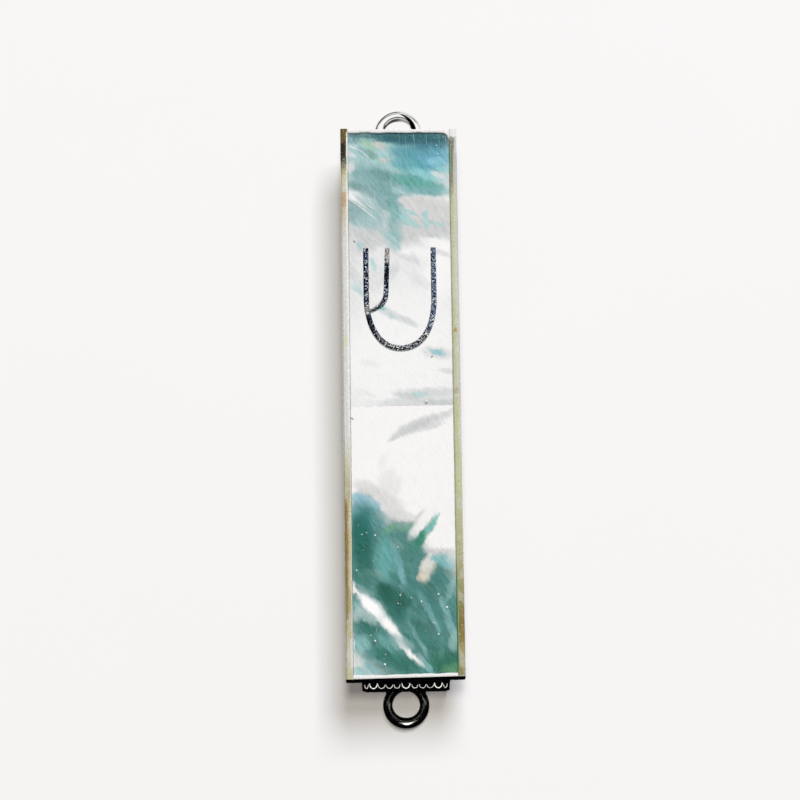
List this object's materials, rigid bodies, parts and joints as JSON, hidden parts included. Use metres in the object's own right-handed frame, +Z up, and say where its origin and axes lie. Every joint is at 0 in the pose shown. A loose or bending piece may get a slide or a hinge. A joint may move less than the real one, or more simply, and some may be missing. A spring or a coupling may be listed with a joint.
{
  "type": "mezuzah case",
  "caption": "Slim wall-hung metal case for a rolled parchment, with a shell-inlaid front under resin, a raised letter, nail rings at its ends and a plate that slides up off the back.",
  "frame": {"origin": "centre of the whole case's bounding box", "axes": "+Z up along the case as it hangs, +Y backwards to the door post, +X to the right seen from the front, which faces -Y"},
  "size_m": [0.0216, 0.0148, 0.1174],
  "materials": {
    "case_metal": "polished silver plate, mirror-like, a little handled",
    "rim_metal": "polished silver plate with a faint warm tarnish and small pits",
    "cover_metal": "plated sheet, drawn lengthwise, satin",
    "letter_metal": "bright silver with diamond-cut glittering facets",
    "mother_of_pearl": "polished nacre, white to teal and green with iridescent wisps",
    "clear_resin": "clear gloss with fine scratches and small bubbles",
    "adhesive": "dull dried glue",
    "parchment": "matt cream vellum"
  },
  "bodies": {
    "case": {"tray_floor": "case_metal", "left_rim": "rim_metal", "right_rim": "rim_metal", "top_rim": "rim_metal", "bottom_rim": "rim_metal", "adhesive_bed": "adhesive", "upper_pearl_tile": "mother_of_pearl", "lower_pearl_tile": "mother_of_pearl", "resin_coat": "clear_resin", "shin_letter": "letter_metal", "left_side_wall": "case_metal", "right_side_wall": "case_metal", "bottom_end_wall": "case_metal", "top_end_wall": "case_metal", "left_cover_guide": "case_metal", "right_cover_guide": "case_metal", "bottom_ring": "case_metal", "top_ring": "case_metal", "parchment_scroll": "parchment"},
    "cover": {"back_cover": "cover_metal", "cover_pull": "cover_metal"}
  },
  "joints": [
    {"name": "cover_slide", "type": "slide", "parent": "case", "child": "cover", "axis": [0, 0, 1], "range_m": [0, 0.1]}
  ]
}
